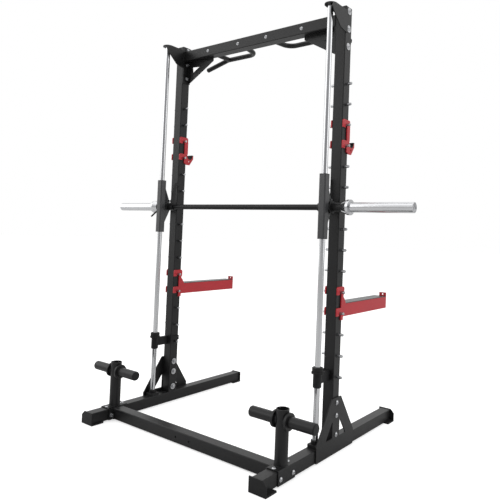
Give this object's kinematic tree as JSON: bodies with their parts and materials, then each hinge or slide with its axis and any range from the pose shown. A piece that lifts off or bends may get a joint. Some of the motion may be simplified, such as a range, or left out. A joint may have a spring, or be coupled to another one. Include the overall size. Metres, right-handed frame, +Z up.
{
  "type": "smith machine",
  "caption": "Free-standing smith machine: a bar with rotating sleeves slides on two vertical chrome rods, with peg rack, hooks, safety arms, grips and plate storage.",
  "frame": {"origin": "on the floor at the centre of the bounding box of the base", "axes": "+X to the right of a user who faces +Y from the front, +Y to the rear, +Z up"},
  "size_m": [2.07, 1.218, 2.241],
  "materials": {
    "black_powder_coat": "semi-gloss powder coat",
    "black_bar": "satin black",
    "black_plastic": "moulded, fine grain",
    "black_rubber": "matt",
    "chrome": "polished",
    "zinc_steel": "bright zinc",
    "red_powder_coat": "satin powder coat",
    "bronze": "sintered bronze"
  },
  "bodies": {
    "frame": {"base_bolts": "zinc_steel", "base_crossbar": "black_powder_coat", "base_gusset_left": "black_powder_coat", "base_gusset_right": "black_powder_coat", "base_rail_left": "black_powder_coat", "base_rail_right": "black_powder_coat", "beam_bolts": "zinc_steel", "beam_gusset_left": "black_powder_coat", "beam_gusset_right": "black_powder_coat", "grip_bolts": "zinc_steel", "grip_caps": "black_plastic", "guide_rod_left": "chrome", "guide_rod_right": "chrome", "gusset_bolts": "zinc_steel", "pullup_grip_left": "black_powder_coat", "pullup_grip_right": "black_powder_coat", "rack_pegs": "zinc_steel", "rail_foot_front_left": "black_plastic", "rail_foot_front_right": "black_plastic", "rail_foot_rear_left": "black_plastic", "rail_foot_rear_right": "black_plastic", "rod_base_left": "black_plastic", "rod_base_right": "black_plastic", "rod_bolts": "zinc_steel", "rod_bracket_left": "black_powder_coat", "rod_bracket_right": "black_powder_coat", "storage_peg_caps": "black_plastic", "storage_peg_left": "black_powder_coat", "storage_peg_right": "black_powder_coat", "storage_post_left": "black_powder_coat", "storage_post_right": "black_powder_coat", "top_beam": "black_powder_coat", "upright_caps": "black_plastic", "upright_left": "black_powder_coat", "upright_right": "black_powder_coat"},
    "carriages": {"carriage_left": "black_powder_coat", "carriage_right": "black_powder_coat", "carriage_bushings": "black_plastic", "bar_bushes": "bronze"},
    "bar": {"bar_shaft": "black_bar", "bar_hubs": "black_powder_coat", "bar_lever": "black_powder_coat", "lock_hook_left": "black_powder_coat", "lock_hook_right": "black_powder_coat"},
    "sleeve_left": {"plate_sleeve_left": "chrome", "sleeve_cap_left": "zinc_steel"},
    "bumper_left": {"stop_bumper_left": "black_rubber"},
    "stop_left": {"rod_stop_left": "black_plastic"},
    "hook_left": {"j_hook_left": "red_powder_coat", "j_hook_liner_left": "black_plastic"},
    "arm_left": {"safety_arm_left": "red_powder_coat", "safety_arm_pad_left": "black_plastic"},
    "sleeve_right": {"plate_sleeve_right": "chrome", "sleeve_cap_right": "zinc_steel"},
    "bumper_right": {"stop_bumper_right": "black_rubber"},
    "stop_right": {"rod_stop_right": "black_plastic"},
    "hook_right": {"j_hook_right": "red_powder_coat", "j_hook_liner_right": "black_plastic"},
    "arm_right": {"safety_arm_right": "red_powder_coat", "safety_arm_pad_right": "black_plastic"}
  },
  "joints": [
    {"name": "bar_travel", "type": "slide", "parent": "frame", "child": "carriages", "axis": [0, 0, 1], "range_m": [-0.615, 0.69]},
    {"name": "bar_turn", "type": "hinge", "parent": "carriages", "child": "bar", "pos_m": [0, -0.11, 1.217], "axis": [1, 0, 0], "range_deg": [-20, 25]},
    {"name": "sleeve_left_spin", "type": "hinge", "parent": "bar", "child": "sleeve_left", "pos_m": [-0.87, -0.11, 1.217], "axis": [1, 0, 0], "continuous": true},
    {"name": "stop_left_lift", "type": "slide", "parent": "frame", "child": "bumper_left", "axis": [0, 0, 1], "range_m": [0, 0.045]},
    {"name": "stop_left_swing", "type": "hinge", "parent": "bumper_left", "child": "stop_left", "pos_m": [-0.591, -0.164, 0.379], "axis": [0, 0, -1], "range_deg": [0, 90]},
    {"name": "j_hook_left_lift", "type": "slide", "parent": "frame", "child": "hook_left", "axis": [0, 0, 1], "range_m": [0, 0.03]},
    {"name": "safety_arm_left_lift", "type": "slide", "parent": "frame", "child": "arm_left", "axis": [0, 0, 1], "range_m": [0, 0.03]},
    {"name": "sleeve_right_spin", "type": "hinge", "parent": "bar", "child": "sleeve_right", "pos_m": [0.87, -0.11, 1.217], "axis": [1, 0, 0], "continuous": true},
    {"name": "stop_right_lift", "type": "slide", "parent": "frame", "child": "bumper_right", "axis": [0, 0, 1], "range_m": [0, 0.045]},
    {"name": "stop_right_swing", "type": "hinge", "parent": "bumper_right", "child": "stop_right", "pos_m": [0.591, -0.164, 0.379], "axis": [0, 0, 1], "range_deg": [0, 90]},
    {"name": "j_hook_right_lift", "type": "slide", "parent": "frame", "child": "hook_right", "axis": [0, 0, 1], "range_m": [0, 0.03]},
    {"name": "safety_arm_right_lift", "type": "slide", "parent": "frame", "child": "arm_right", "axis": [0, 0, 1], "range_m": [0, 0.03]}
  ]
}
